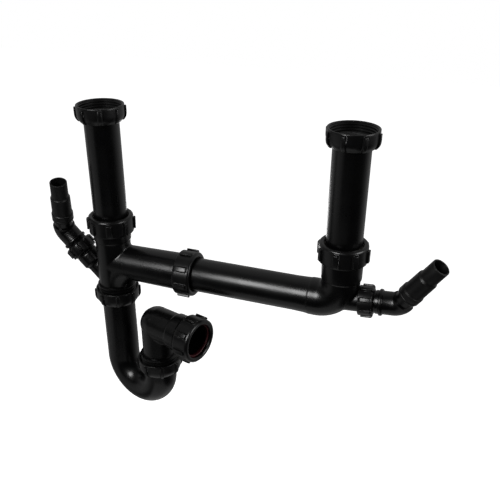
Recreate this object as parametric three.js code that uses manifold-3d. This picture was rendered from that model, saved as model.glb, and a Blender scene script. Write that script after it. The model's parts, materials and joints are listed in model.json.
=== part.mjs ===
// Waste kit for a two-bowl kitchen sink: two inlets, a crossbar, a tubular P trap and two
// hose nozzles, held together by lugged plastic nuts. Millimetres, +Z up. The origin is the
// centre of the left inlet, on the face that seals against the sink's waste outlet.
import * as THREE from 'three';
import { mergeVertices } from 'three/addons/utils/BufferGeometryUtils.js';
import Module from 'manifold-3d';

const wasm = await Module();
wasm.setup();

// ---- Driving dimensions ----
const INLET_SPACING = 292.6;      // left inlet axis to right inlet axis
const INLET_HEIGHT = 190.2;       // crossbar axis up to the left sealing face
const RIGHT_INLET_RISE = 2.8;     // the right inlet is set this much higher
const PIPE_R = 20.5;              // outside of the 1 1/2 inch waste pipe
const WALL = 2.3;
const BORE_R = PIPE_R - WALL;
const SOCKET_BORE_R = 21.1;       // a socket's bore round a sliding pipe
const THREAD_R = 24.3;            // crest of the large male threads
const FIT = 0.3;                  // gap between pieces that touch
const THREAD_CLEARANCE = 0.2;     // a ring inside a nut is this much smaller than the thread's crest

const NUT_R = 27.6;               // large nut's barrel
const LUG_R = 30.2;               // large nut over its lugs
const FLANGE_NUT_LENGTH = 19.6;   // nut that pulls up a flange
const PIPE_NUT_LENGTH = 22;       // longer nut that clamps a sliding pipe
const LUG_COUNT = 8;
const LUG_WIDTH = 6;
const LIP = 2.8;                  // end wall of a nut, with the pipe's hole in it
const SEAL_LENGTH = 4.2;
const SLIP_LENGTH = 1.6;
const WASHER_LENGTH = 2.6;
const FLANGE_R = 24.0;
const FLANGE_LENGTH = 2.6;

const NOZZLE_PIPE_R = 13.3;
const NOZZLE_BORE_R = 8;
const NOZZLE_THREAD_R = 14.3;
const NOZZLE_NUT_R = 17.3;
const NOZZLE_LUG_R = 19.3;
const NOZZLE_NUT_LENGTH = 17;
const NOZZLE_LUG_WIDTH = 5;
const NOZZLE_LIP = 2.4;
const NOZZLE_NECK_R = 11.6;
const NOZZLE_RING_R = 15.2;
const NOZZLE_RING_LENGTH = 6.5;
const NOZZLE_BEND = 54.5;         // degrees between the branch and the hose tail
const LEFT_TAIL_LEAN = 15;        // degrees, each hose tail leans forward from upright
const RIGHT_TAIL_LEAN = 13;
const NOZZLE_REACH = 26.3;        // nut's outer end to the corner of the bend
const TAIL_END = 73.3;            // corner of the bend to the hose tail's mouth

const TRAP_SPACING = 71.4;        // long leg's axis to short leg's axis
const TRAP_TURN = -18.8;          // degrees, plane of the U bend about the left axis
const TRAP_PIPE_R = 21;
const TRAP_BEND_Z = -145.4;       // height of the U bend's centre above the crossbar axis
const OUTLET_TURN = 3.2;          // degrees, outlet arm against the plane of the U bend
const OUTLET_Z = -67.8;           // height of the outlet arm's axis
const OUTLET_REACH = 67.5;        // short leg's axis to the outlet nut's face

const ROUND = 24;                 // sides of a pipe
const HIDDEN_ROUND = 20;          // sides of the rings inside the nuts
const OVERLAP = 0.5;              // how far two shapes of one piece run into each other

// ---- Materials ----
function plastic(color, roughness) {
  return new THREE.MeshStandardMaterial({ color, roughness, metalness: 0 });
}
const GLOSS_BLACK = plastic(0x0b0b0c, 0.3);
const SATIN_BLACK = plastic(0x0d0d0e, 0.45);
const MATT_BLACK = plastic(0x141415, 0.7);
const SEAL_RED = plastic(0x5a1512, 0.6);
const WASHER_BLACK = plastic(0x101010, 0.8);
const SLIP_WHITE = plastic(0xc9c7bf, 0.5);

// ---- Solids ----
function toSolid(geometry) {
  const bare = geometry.clone();
  bare.deleteAttribute('normal');
  bare.deleteAttribute('uv');
  const merged = mergeVertices(bare, 1e-4);
  const mesh = new wasm.Mesh({
    numProp: 3,
    vertProperties: new Float32Array(merged.attributes.position.array),
    triVerts: new Uint32Array(merged.index.array),
  });
  return new wasm.Manifold(mesh);
}

function toGeometry(solid) {
  const mesh = solid.getMesh();
  const geometry = new THREE.BufferGeometry();
  geometry.setAttribute('position', new THREE.BufferAttribute(mesh.vertProperties, 3));
  geometry.setIndex(new THREE.BufferAttribute(mesh.triVerts, 1));
  geometry.computeVertexNormals();
  return geometry;
}

function join(geometries) {
  return geometries.map(toSolid).reduce((whole, next) => whole.add(next));
}

// Joins the first list and cuts the second list out of it.
function carve(bodies, cuts) {
  return toGeometry(cuts.map(toSolid).reduce((whole, next) => whole.subtract(next), join(bodies)));
}

// A ring or solid of revolution about +Z, from [radius, z] points that run up the outside.
function turned(points, sides = ROUND) {
  const profile = points.map(([r, z]) => new THREE.Vector2(r, z));
  profile.push(profile[0].clone());
  return new THREE.LatheGeometry(profile, sides).rotateX(Math.PI / 2);
}

// A rod has no bore, so its profile starts and ends on the axis.
function rod(radius, low, high, sides = ROUND) {
  return turned([[0, low], [radius, low], [radius, high], [0, high]], sides);
}

function ring(outer, inner, low, high, sides = ROUND) {
  return turned([[inner, low], [outer, low], [outer, high], [inner, high]], sides);
}

// The radius that keeps a faceted hole's flats at the stated radius.
function hole(radius, sides = ROUND) {
  return radius / Math.cos(Math.PI / sides);
}

// A pipe's centre line: a straight leg up +Z, a bend towards +X, and a second straight leg.
class PipeRun extends THREE.Curve {
  constructor(firstLeg, radius, degrees, secondLeg, bendSteps) {
    super();
    Object.assign(this, { firstLeg, radius, secondLeg, bendSteps });
    this.angle = THREE.MathUtils.degToRad(degrees);
    this.stations = bendSteps + 2;
  }

  turnAt(t) {
    const station = t * this.stations - 1;
    return THREE.MathUtils.clamp(station / this.bendSteps, 0, 1) * this.angle;
  }

  getPoint(t, target = new THREE.Vector3()) {
    const turn = this.turnAt(t);
    const before = Math.min(t * this.stations, 1) - 1;
    const after = Math.max(t * this.stations - this.stations + 1, 0);
    target.set(this.radius * (1 - Math.cos(turn)), 0, this.radius * Math.sin(turn));
    target.z += this.firstLeg * before;
    const along = new THREE.Vector3(Math.sin(turn), 0, Math.cos(turn));
    return target.addScaledVector(along, this.secondLeg * after);
  }

  getTangent(t, target = new THREE.Vector3()) {
    const turn = this.turnAt(t);
    return target.set(Math.sin(turn), 0, Math.cos(turn));
  }

  getUtoTmapping(u) {
    return u;
  }
}

function alongRun(radius, run, sides = ROUND) {
  const outline = new THREE.Shape();
  for (let i = 0; i < sides; i += 1) {
    const angle = (i / sides) * 2 * Math.PI;
    const point = [radius * Math.cos(angle), radius * Math.sin(angle)];
    if (i === 0) outline.moveTo(...point);
    else outline.lineTo(...point);
  }
  outline.closePath();
  return new THREE.ExtrudeGeometry(outline, {
    steps: run.stations, extrudePath: run, bevelEnabled: false,
  });
}

// ---- Repeated pieces ----
// A lugged nut with its open, threaded end at z = 0 and its lip at z = length.
function nut({ barrel, lugs, length, bore, mouth, lip, lugWidth }) {
  const outline = new THREE.Shape();
  const half = lugWidth / 2;
  for (let i = 0; i < LUG_COUNT; i += 1) {
    const middle = (i / LUG_COUNT) * 2 * Math.PI;
    const step = (2 * Math.PI) / LUG_COUNT;
    const root = Math.asin(half / barrel);
    const crest = Math.asin(half * 0.8 / lugs);
    for (const [r, a] of [[barrel, -root], [lugs, -crest], [lugs, crest], [barrel, root],
      [barrel, step / 2]]) {
      const point = [r * Math.cos(middle + a), r * Math.sin(middle + a)];
      if (outline.curves.length === 0 && i === 0 && a === -root) outline.moveTo(...point);
      else outline.lineTo(...point);
    }
  }
  outline.closePath();
  const body = new THREE.ExtrudeGeometry(outline, { depth: length, bevelEnabled: false });
  return carve([body], [
    rod(hole(bore, HIDDEN_ROUND), -1, length - lip, HIDDEN_ROUND),
    rod(hole(mouth, HIDDEN_ROUND), -1, length + 1, HIDDEN_ROUND),
  ]);
}

const largeNut = (length) => nut({
  barrel: NUT_R, lugs: LUG_R, length, bore: THREAD_R + FIT,
  mouth: TRAP_PIPE_R + FIT, lip: LIP, lugWidth: LUG_WIDTH,
});
const nozzleNut = () => nut({
  barrel: NOZZLE_NUT_R, lugs: NOZZLE_LUG_R, length: NOZZLE_NUT_LENGTH,
  bore: NOZZLE_THREAD_R + FIT, mouth: NOZZLE_NECK_R + FIT, lip: NOZZLE_LIP, lugWidth: NOZZLE_LUG_WIDTH,
});

// Inside a pipe joint, measured from the nut's outer face inwards: lip, slip ring, seal, then
// the mouth of the socket.
const SLIP_TOP = LIP + FIT;
const SEAL_TOP = SLIP_TOP + SLIP_LENGTH + FIT;
const SOCKET_MOUTH = SEAL_TOP + SEAL_LENGTH + FIT;

// Inside a flanged joint, measured the same way: lip, flange, washer, then the threaded end.
const FLANGE_FACE = LIP + FIT + FLANGE_LENGTH;
const THREAD_END = FLANGE_FACE + WASHER_LENGTH + 2 * FIT;

function slipRing(face) {
  const top = face - SLIP_TOP;
  return ring(THREAD_R - THREAD_CLEARANCE, PIPE_R + 2 * FIT, top - SLIP_LENGTH, top, HIDDEN_ROUND);
}

// A rubber ring with a sloping foot that wedges into the socket's mouth.
const SEAL_SLOPE = 1.8;
const SEAL_TAPER = 1.4;

function seal(face) {
  const top = face - SEAL_TOP;
  const foot = top - SEAL_LENGTH;
  const inner = hole(PIPE_R + FIT, HIDDEN_ROUND);
  const outer = THREAD_R - THREAD_CLEARANCE;
  return turned([
    [inner, foot], [outer - SEAL_TAPER, foot], [outer, foot + SEAL_SLOPE], [outer, top],
    [inner, top],
  ], HIDDEN_ROUND);
}

function washer(low, length, outer, inner) {
  return ring(outer, hole(inner, HIDDEN_ROUND), low, low + length, HIDDEN_ROUND);
}

// ---- Assembly ----
const kit = new THREE.Group();
const crossbar = new THREE.Group();       // axis height, on the left inlet's axis
crossbar.position.z = -INLET_HEIGHT;
kit.add(crossbar);

function place(parent, name, geometry, material) {
  const mesh = new THREE.Mesh(geometry, material);
  mesh.name = name;
  parent.add(mesh);
  return mesh;
}

function group(parent, x, y, z) {
  const inner = new THREE.Group();
  inner.position.set(x, y, z);
  parent.add(inner);
  return inner;
}

// A pipe nut's lip faces up +Z at the height of its face.
function placePipeNut(parent, name, face, lugTurn) {
  const piece = place(parent, name, largeNut(PIPE_NUT_LENGTH), SATIN_BLACK);
  piece.position.z = face - PIPE_NUT_LENGTH;
  piece.rotation.z = THREE.MathUtils.degToRad(lugTurn);
}

// A flange nut is turned over, so that its lip faces down at the height of its lip.
function placeFlangeNut(parent, name, lipFace, lugTurn) {
  const piece = place(parent, name, largeNut(FLANGE_NUT_LENGTH), SATIN_BLACK);
  piece.position.z = lipFace + FLANGE_NUT_LENGTH;
  piece.rotation.set(Math.PI, 0, THREE.MathUtils.degToRad(lugTurn));
}

// ---- Inlets: flanged tube, waste nut and washer, and the nut that clamps the tube ----
const LEFT_NUT_FACE = 63.8;       // upper face of the left tube nut
const RIGHT_NUT_FACE = 75.4;
const LEFT_TUBE_END = 30;         // lower end of the left tube
const RIGHT_TUBE_END = 40;
const TUBE_PLAY = 8;              // gap under a tube before it meets the ledge in its socket

function inlet({ side, x, sealingFace, nutFace, tubeEnd, wasteNutTurn, tubeNutTurn }) {
  const line = group(crossbar, x, 0, 0);
  const flangeTop = sealingFace - WASHER_LENGTH - FIT;
  const flangeFoot = flangeTop - FLANGE_LENGTH;
  place(line, `${side}_tailpiece`, turned([
    [BORE_R, tubeEnd], [PIPE_R, tubeEnd], [PIPE_R, flangeFoot], [FLANGE_R, flangeFoot],
    [FLANGE_R, flangeTop], [BORE_R, flangeTop],
  ]), GLOSS_BLACK);
  const washerRing = washer(flangeTop + FIT, WASHER_LENGTH, FLANGE_R, BORE_R + FIT);
  place(line, `${side}_waste_washer`, washerRing, WASHER_BLACK);
  placeFlangeNut(line, `${side}_waste_nut`, flangeFoot - FIT - LIP, wasteNutTurn);
  placePipeNut(line, `${side}_tube_nut`, nutFace, tubeNutTurn);
  place(line, `${side}_tube_slip_ring`, slipRing(nutFace), SLIP_WHITE);
  place(line, `${side}_tube_seal`, seal(nutFace), SEAL_RED);
}
inlet({
  side: 'left', x: 0, sealingFace: INLET_HEIGHT, nutFace: LEFT_NUT_FACE,
  tubeEnd: LEFT_TUBE_END, wasteNutTurn: 15, tubeNutTurn: 23.4,
});
inlet({
  side: 'right', x: INLET_SPACING, sealingFace: INLET_HEIGHT + RIGHT_INLET_RISE,
  nutFace: RIGHT_NUT_FACE, tubeEnd: RIGHT_TUBE_END, wasteNutTurn: 8.4, tubeNutTurn: 38.1,
});

// ---- Swept tee ----
const TEE_R = 22;
const TEE_NECK = -33;             // top of the tee's lower thread
const COLLAR_R = 23.3;            // plain collar below a thread
const COLLAR_SLOPE = 2;
const LEFT_COLLAR = [31, 45];     // from the collar's foot to the start of the thread
const BRANCH_R = 23.1;
const BRANCH_COLLAR_END = 94;
const CROSSBAR_NUT_FACE = 114.4;
const CROSSBAR_PIPE_R = 20.7;
const PIPE_END = 66;              // crossbar pipe's end inside the tee
const SOCKET_STOP = 40;           // shoulder at the bottom of the tee's side socket
const SWEEP_R = 34;               // centre line of the sweep from the branch into the trap
const SWEEP_PIPE_R = 21.8;
const TRAP_NUT_LIP = -58.2;       // lower face of the trap's inlet nut
const TEE_FOOT = TRAP_NUT_LIP + THREAD_END;
const LEFT_NOZZLE_Z = -39.8;      // where the nozzle branch meets the left axis
const LEFT_NOZZLE_RISE = 45.6;    // degrees above the horizontal
const LEFT_NOZZLE_FACE = 75;      // from there to the nozzle nut's outer face
const NECK_R = 11.4;
const BOSS_R = 13.6;
const BOSS_RISE = [42, 44];       // where the nozzle branch thickens into its boss
const BOSS_END = 58;
const NOZZLE_WASHER = 2;
const NOZZLE_FLANGE = 2;
const NOZZLE_BOSS_END = NOZZLE_LIP + NOZZLE_FLANGE + NOZZLE_WASHER + 3 * FIT;

function lying(geometry) {
  return geometry.rotateY(Math.PI / 2);
}

function leaning(geometry) {
  const turn = THREE.MathUtils.degToRad(LEFT_NOZZLE_RISE - 90);
  return geometry.rotateY(turn).translate(0, 0, LEFT_NOZZLE_Z);
}

function teeBody() {
  const mouth = LEFT_NUT_FACE - SOCKET_MOUTH;
  const branchMouth = CROSSBAR_NUT_FACE - SOCKET_MOUTH;
  const bossEnd = LEFT_NOZZLE_FACE - NOZZLE_BOSS_END;
  const [collarFoot, collarEnd] = LEFT_COLLAR;
  const [neckEnd, bossStart] = BOSS_RISE;
  const upright = turned([
    [0, TEE_FOOT], [THREAD_R, TEE_FOOT], [THREAD_R, TEE_NECK], [TEE_R, TEE_NECK],
    [TEE_R, collarFoot - COLLAR_SLOPE], [COLLAR_R, collarFoot], [COLLAR_R, collarEnd],
    [THREAD_R, collarEnd], [THREAD_R, mouth], [0, mouth],
  ]);
  const branch = turned([
    [0, 0], [BRANCH_R, 0], [BRANCH_R, BRANCH_COLLAR_END], [THREAD_R, BRANCH_COLLAR_END],
    [THREAD_R, branchMouth], [0, branchMouth],
  ]);
  const sweep = alongRun(SWEEP_PIPE_R, new PipeRun(1, SWEEP_R, 90, 1, 6));
  const nozzleBoss = turned([
    [0, 0], [NECK_R, 0], [NECK_R, neckEnd], [BOSS_R, bossStart], [BOSS_R, BOSS_END],
    [NOZZLE_THREAD_R, BOSS_END], [NOZZLE_THREAD_R, bossEnd], [0, bossEnd],
  ]);
  const socketBore = hole(SOCKET_BORE_R);
  return carve([
    upright,
    lying(branch),
    sweep.translate(0, 0, -SWEEP_R),
    leaning(nozzleBoss),
  ], [
    rod(BORE_R, TEE_FOOT - 1, LEFT_TUBE_END),
    rod(socketBore, LEFT_TUBE_END - TUBE_PLAY, mouth + 1),
    lying(rod(BORE_R, 0, SOCKET_STOP + 1)),
    lying(rod(socketBore, SOCKET_STOP, branchMouth + 1)),
    leaning(rod(NOZZLE_BORE_R, 0, bossEnd + 1, HIDDEN_ROUND)),
  ]);
}
place(crossbar, 'tee_body', teeBody(), GLOSS_BLACK);

// ---- Crossbar joint ----
const sideways = group(crossbar, 0, 0, 0);
sideways.rotation.y = Math.PI / 2;
placePipeNut(sideways, 'crossbar_nut', CROSSBAR_NUT_FACE, 8.4);
place(sideways, 'crossbar_slip_ring', slipRing(CROSSBAR_NUT_FACE), SLIP_WHITE);
place(sideways, 'crossbar_seal', seal(CROSSBAR_NUT_FACE), SEAL_RED);

// ---- Crossbar pipe with the right elbow and its socket ----
const ELBOW_R = 22;
const ELBOW_BEND = 26;            // radius of the elbow's centre line
const ELBOW_START = 6;            // straight part of the elbow before its bend
const RIGHT_SOCKET_FOOT = 24;
const RIGHT_COLLAR = [31, 55];
const RIGHT_BOSS_END = 25;
const RIGHT_NOZZLE_Z = 3.9;
const RIGHT_NOZZLE_RISE = 4.4;    // degrees
const RIGHT_NOZZLE_FACE = 41.3;   // inlet axis to the nozzle nut's outer face

function towardsRight(geometry) {
  const turn = THREE.MathUtils.degToRad(90 - RIGHT_NOZZLE_RISE);
  return geometry.rotateY(turn).translate(INLET_SPACING, 0, RIGHT_NOZZLE_Z);
}

function elbowPipe() {
  const bendStart = INLET_SPACING - ELBOW_BEND;
  const mouth = RIGHT_NUT_FACE - SOCKET_MOUTH;
  const bossEnd = RIGHT_NOZZLE_FACE - NOZZLE_BOSS_END;
  const elbow = (radius, before, after) => {
    const run = new PipeRun(before, ELBOW_BEND, 90, after, 6);
    return lying(alongRun(radius, run).rotateZ(Math.PI)).translate(bendStart, 0, 0);
  };
  const [collarFoot, collarEnd] = RIGHT_COLLAR;
  const socket = turned([
    [0, RIGHT_SOCKET_FOOT], [ELBOW_R, RIGHT_SOCKET_FOOT], [ELBOW_R, collarFoot - COLLAR_SLOPE],
    [COLLAR_R, collarFoot], [COLLAR_R, collarEnd], [THREAD_R, collarEnd], [THREAD_R, mouth],
    [0, mouth],
  ]);
  const nozzleBoss = turned([
    [0, 0], [BOSS_R, 0], [BOSS_R, RIGHT_BOSS_END], [NOZZLE_THREAD_R, RIGHT_BOSS_END],
    [NOZZLE_THREAD_R, bossEnd], [0, bossEnd],
  ]);
  const socketBore = rod(hole(SOCKET_BORE_R), RIGHT_TUBE_END - TUBE_PLAY, mouth + 1);
  return carve([
    lying(rod(CROSSBAR_PIPE_R, PIPE_END, bendStart + OVERLAP)),
    elbow(ELBOW_R, ELBOW_START, 1),
    socket.translate(INLET_SPACING, 0, 0),
    towardsRight(nozzleBoss),
  ], [
    lying(rod(BORE_R, PIPE_END - 1, bendStart + OVERLAP)),
    elbow(BORE_R, OVERLAP, TUBE_PLAY),
    socketBore.translate(INLET_SPACING, 0, 0),
    towardsRight(rod(NOZZLE_BORE_R, 0, bossEnd + 1, HIDDEN_ROUND)),
  ]);
}
place(crossbar, 'right_elbow_pipe', elbowPipe(), GLOSS_BLACK);

// ---- Hose nozzles: flanged elbow, nut and washer, and the stepped hose tail on its stub ----
const NOZZLE_FLANGE_R = 14;
const TAIL_FOOT = 15.6;           // from the corner of the bend along the hose tail
const TAIL_STEPS = [[13.2, 27], [12.2, 52], [10.5, TAIL_END]];
const TAIL_WALL = 1.9;
const FOOT_CHAMFER = 1.5;
const STUB_END = 33;
const STUB_R = 10.8;
const NOZZLE_BEND_R = 15;
const STUB_NECK_R = 11.4;        // between the bend and the hose tail's foot
const TAIL_BORE_R = hole(STUB_R + FIT);

function nozzleElbow(flangeFoot, flangeTop) {
  const setback = NOZZLE_BEND_R * Math.tan(THREE.MathUtils.degToRad(NOZZLE_BEND) / 2);
  const bendStart = NOZZLE_REACH - setback;
  const bent = (radius, before, reach, sides = ROUND) => {
    const run = new PipeRun(before, NOZZLE_BEND_R, NOZZLE_BEND, reach - setback, 4);
    return alongRun(radius, run, sides).translate(0, 0, bendStart);
  };
  const flangedEnd = turned([
    [0, flangeFoot], [NOZZLE_FLANGE_R, flangeFoot], [NOZZLE_FLANGE_R, flangeTop],
    [NOZZLE_NECK_R, flangeTop], [NOZZLE_NECK_R, FIT], [NOZZLE_RING_R, FIT],
    [NOZZLE_RING_R, NOZZLE_RING_LENGTH], [NOZZLE_PIPE_R, NOZZLE_RING_LENGTH + 1],
    [NOZZLE_PIPE_R, bendStart + OVERLAP], [0, bendStart + OVERLAP],
  ]);
  return carve([
    flangedEnd,
    bent(NOZZLE_PIPE_R, 0.8, setback + OVERLAP),
    bent(STUB_NECK_R, 1, TAIL_FOOT),
    bent(STUB_R, 1.2, STUB_END),
  ], [
    rod(NOZZLE_BORE_R, flangeFoot - 1, bendStart + OVERLAP, HIDDEN_ROUND),
    bent(NOZZLE_BORE_R, OVERLAP, STUB_END + 1, HIDDEN_ROUND),
  ]);
}

function hoseTail() {
  const [[baseR, baseEnd], [middleR, middleEnd], [endR, end]] = TAIL_STEPS;
  const foot = TAIL_FOOT + FIT;
  const innerR = endR - TAIL_WALL;
  return turned([
    [TAIL_BORE_R, foot], [baseR - FOOT_CHAMFER, foot], [baseR, foot + FOOT_CHAMFER],
    [baseR, baseEnd], [middleR, baseEnd], [middleR, middleEnd], [endR, middleEnd], [endR, end],
    [innerR, end], [innerR, STUB_END + 1], [TAIL_BORE_R, STUB_END + 1],
  ]);
}

function nozzle({ side, x, z, tilt, turn, face }) {
  const arm = group(crossbar, x, 0, z);
  arm.rotation.y = THREE.MathUtils.degToRad(tilt);
  const axis = group(arm, 0, 0, face);
  axis.rotation.z = THREE.MathUtils.degToRad(turn);
  const flangeTop = -NOZZLE_LIP - FIT;
  const flangeFoot = flangeTop - NOZZLE_FLANGE;
  place(axis, `${side}_nozzle_nut`, nozzleNut(), SATIN_BLACK).position.z = -NOZZLE_NUT_LENGTH;
  const washerFoot = flangeFoot - FIT - NOZZLE_WASHER;
  const washerRing = washer(washerFoot, NOZZLE_WASHER, NOZZLE_FLANGE_R, NOZZLE_BORE_R);
  place(axis, `${side}_nozzle_washer`, washerRing, WASHER_BLACK);
  place(axis, `${side}_nozzle_elbow`, nozzleElbow(flangeFoot, flangeTop), GLOSS_BLACK);
  const corner = group(axis, 0, 0, NOZZLE_REACH);
  corner.rotation.y = THREE.MathUtils.degToRad(NOZZLE_BEND);
  place(corner, `${side}_hose_tail`, hoseTail(), MATT_BLACK);
}
nozzle({
  side: 'left', x: 0, z: LEFT_NOZZLE_Z, tilt: LEFT_NOZZLE_RISE - 90, turn: -LEFT_TAIL_LEAN,
  face: LEFT_NOZZLE_FACE,
});
nozzle({
  side: 'right', x: INLET_SPACING, z: RIGHT_NOZZLE_Z, tilt: 90 - RIGHT_NOZZLE_RISE,
  turn: 180 + RIGHT_TAIL_LEAN, face: RIGHT_NOZZLE_FACE,
});

// ---- P trap ----
const trap = group(crossbar, 0, 0, 0);
trap.rotation.z = THREE.MathUtils.degToRad(TRAP_TURN);
const OUTLET_NUT_LIP = -137.4;
placeFlangeNut(trap, 'trap_inlet_nut', TRAP_NUT_LIP, 40.8);
const inletFlangeTop = TRAP_NUT_LIP + FLANGE_FACE;
const trapWasher = () => washer(0, WASHER_LENGTH, FLANGE_R, BORE_R + FIT);
place(trap, 'trap_inlet_washer', trapWasher(), WASHER_BLACK).position.z = inletFlangeTop + FIT;

function uBend() {
  const half = TRAP_SPACING / 2;
  const longLeg = inletFlangeTop - TRAP_BEND_Z;
  const shortLeg = OUTLET_NUT_LIP + FLANGE_FACE - TRAP_BEND_Z;
  const pipe = (radius, extra) => {
    const run = new PipeRun(longLeg + extra, half, 180, shortLeg + extra, 12);
    return alongRun(radius, run).rotateX(Math.PI).translate(0, 0, TRAP_BEND_Z);
  };
  const flange = (x, top) => rod(FLANGE_R, top - FLANGE_LENGTH, top).translate(x, 0, 0);
  return carve([
    pipe(TRAP_PIPE_R, 0),
    flange(0, inletFlangeTop),
    flange(TRAP_SPACING, OUTLET_NUT_LIP + FLANGE_FACE),
  ], [pipe(BORE_R, 1)]);
}
place(trap, 'trap_u_bend', uBend(), GLOSS_BLACK);

// ---- Outlet elbow on the trap's short leg ----
const outlet = group(trap, TRAP_SPACING, 0, 0);
placeFlangeNut(outlet, 'trap_outlet_nut', OUTLET_NUT_LIP, 38.7);
const outletWasherFoot = OUTLET_NUT_LIP + FLANGE_FACE + FIT;
place(outlet, 'trap_outlet_washer', trapWasher(), WASHER_BLACK).position.z = outletWasherFoot;

const OUTLET_BEND = 22.5;         // radius of the elbow's centre line
const OUTLET_ELBOW_R = 21.4;
const OUTLET_THREAD_LENGTH = 15;
const OUTLET_COLLAR = [30, 43];
const OUTLET_SOCKET_FOOT = 24;
const turning = group(outlet, 0, 0, 0);
turning.rotation.z = THREE.MathUtils.degToRad(OUTLET_TURN);

function outletElbow() {
  const foot = OUTLET_NUT_LIP + THREAD_END;
  const mouth = OUTLET_REACH - SOCKET_MOUTH;
  const bendFoot = OUTLET_Z - OUTLET_BEND;
  const pipe = (radius, below, beyond) => {
    const run = new PipeRun(below, OUTLET_BEND, 90, beyond, 6);
    return alongRun(radius, run).translate(0, 0, bendFoot);
  };
  const [collarFoot, collarEnd] = OUTLET_COLLAR;
  const socket = turned([
    [0, OUTLET_ELBOW_R], [OUTLET_ELBOW_R, OUTLET_ELBOW_R], [COLLAR_R, collarFoot],
    [COLLAR_R, collarEnd], [THREAD_R, collarEnd], [THREAD_R, mouth], [0, mouth],
  ]);
  const socketBore = rod(hole(SOCKET_BORE_R), OUTLET_SOCKET_FOOT, mouth + 1);
  return carve([
    pipe(OUTLET_ELBOW_R, bendFoot - foot, 1),
    rod(THREAD_R, foot, foot + OUTLET_THREAD_LENGTH),
    lying(socket).translate(0, 0, OUTLET_Z),
  ], [
    pipe(BORE_R, bendFoot - foot + 1, 4),
    lying(socketBore).translate(0, 0, OUTLET_Z),
  ]);
}
place(turning, 'outlet_elbow', outletElbow(), GLOSS_BLACK);
const outletArm = group(turning, 0, 0, OUTLET_Z);
outletArm.rotation.y = Math.PI / 2;
placePipeNut(outletArm, 'outlet_nut', OUTLET_REACH, 6);
place(outletArm, 'outlet_seal', seal(OUTLET_REACH + SLIP_LENGTH + FIT), SEAL_RED);

export default kit;
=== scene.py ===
# %% [markdown]
# # A double-bowl sink waste kit with a P trap
#
# Two upright tubes hang from the wastes of two kitchen sinks. A crossbar carries the right sink's
# water to a swept tee under the left one, a U bend below it keeps the water seal, and an elbow
# sends the water out through the wall. Two small angled nozzles take the drain hoses of a
# dishwasher and a washing machine. Everything is moulded black polypropylene, screwed together
# by lugged nuts over rubber seals.
#
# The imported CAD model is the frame: every piece below takes its place from it, and rides on one
# of its moving bodies. Lengths in this lesson are millimetres on the piece's own axis, and one
# matrix carries each finished mesh to its place in metres.

# %% Frame
import json
import math

import bmesh
import bpy
from mathutils import Matrix, Vector


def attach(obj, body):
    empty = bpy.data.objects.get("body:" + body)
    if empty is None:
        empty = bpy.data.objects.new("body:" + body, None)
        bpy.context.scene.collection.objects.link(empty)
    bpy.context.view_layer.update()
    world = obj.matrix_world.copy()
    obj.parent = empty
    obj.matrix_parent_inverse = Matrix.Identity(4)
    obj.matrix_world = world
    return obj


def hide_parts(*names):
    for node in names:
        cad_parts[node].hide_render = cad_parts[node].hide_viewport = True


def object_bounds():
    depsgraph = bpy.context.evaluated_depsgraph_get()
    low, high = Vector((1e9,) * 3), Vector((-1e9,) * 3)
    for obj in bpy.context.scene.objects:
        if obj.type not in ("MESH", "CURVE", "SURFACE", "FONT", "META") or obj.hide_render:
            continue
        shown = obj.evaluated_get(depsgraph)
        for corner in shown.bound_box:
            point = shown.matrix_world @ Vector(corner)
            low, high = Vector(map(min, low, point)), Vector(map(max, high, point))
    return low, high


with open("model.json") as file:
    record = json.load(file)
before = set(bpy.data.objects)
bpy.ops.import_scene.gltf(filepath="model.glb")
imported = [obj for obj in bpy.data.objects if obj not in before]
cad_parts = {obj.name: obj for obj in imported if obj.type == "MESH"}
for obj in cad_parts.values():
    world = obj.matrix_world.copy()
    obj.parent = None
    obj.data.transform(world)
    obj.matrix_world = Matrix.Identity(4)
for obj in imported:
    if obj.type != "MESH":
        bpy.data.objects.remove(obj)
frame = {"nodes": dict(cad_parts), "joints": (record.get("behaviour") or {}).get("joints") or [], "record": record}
cad_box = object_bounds()
joints = {row["name"]: row for row in frame["joints"]}

# %% [markdown]
# ## Where each piece sits
#
# A nut, seal or tube is round, so its place is an axis and a height along that axis. The axis
# comes from the joint that the piece turns about, and the height from the CAD node's own
# vertices. So nothing is placed by eye, and a piece lands where its moving body expects it.

# %% Axes and heights
MM = 0.001
STEEP = 0.9


def axes(way, start=(0, 0, 0), across=None):
    """A place with Z along way, at start in metres, and X as near to across as it can be."""
    z = Vector(way).normalized()
    if across is None:
        across = (0, 0, 1) if abs(z.z) < STEEP else (1, 0, 0)
    side = Vector(across)
    x = (side - z * side.dot(z)).normalized()
    turn = Matrix((x, z.cross(x), z)).transposed()
    return Matrix.Translation(Vector(start)) @ turn.to_4x4()


def joint_axes(name, sign=1):
    """The place of a joint, with Z along its axis, or against it where sign is -1."""
    row = joints[name]
    return axes(Vector(row["axis"]) * sign, row["pos_m"])


def span(node, place):
    """The lowest and highest mark of a CAD node along a place's Z axis, in mm."""
    back = place.inverted()
    marks = [(back @ v.co).z for v in frame["nodes"][node].data.vertices]
    return min(marks) / MM, max(marks) / MM


def end_of(node, place):
    """The same axis, moved so that z = 0 is the node's far end."""
    top = span(node, place)[1]
    return place @ Matrix.Translation((0, 0, top * MM))


print("left waste nut:", [round(v, 1) for v in span("left_waste_nut", axes((0, 0, 1)))])

# %% [markdown]
# ## Turned pieces
#
# Nearly everything here is round, because it slides or screws onto something round. So the main
# tool is a lathe: a flat outline with its corners rounded by a vertex bevel, spun a full turn
# about the axis. Bevelling the outline first is cheaper than bevelling the solid, and gives each
# edge its own radius, which is what catches a thin line of light on a moulded edge.

# %% Lathe
ROUND = 96
CORNER_STEPS = 3
MERGE = 0.001


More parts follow.
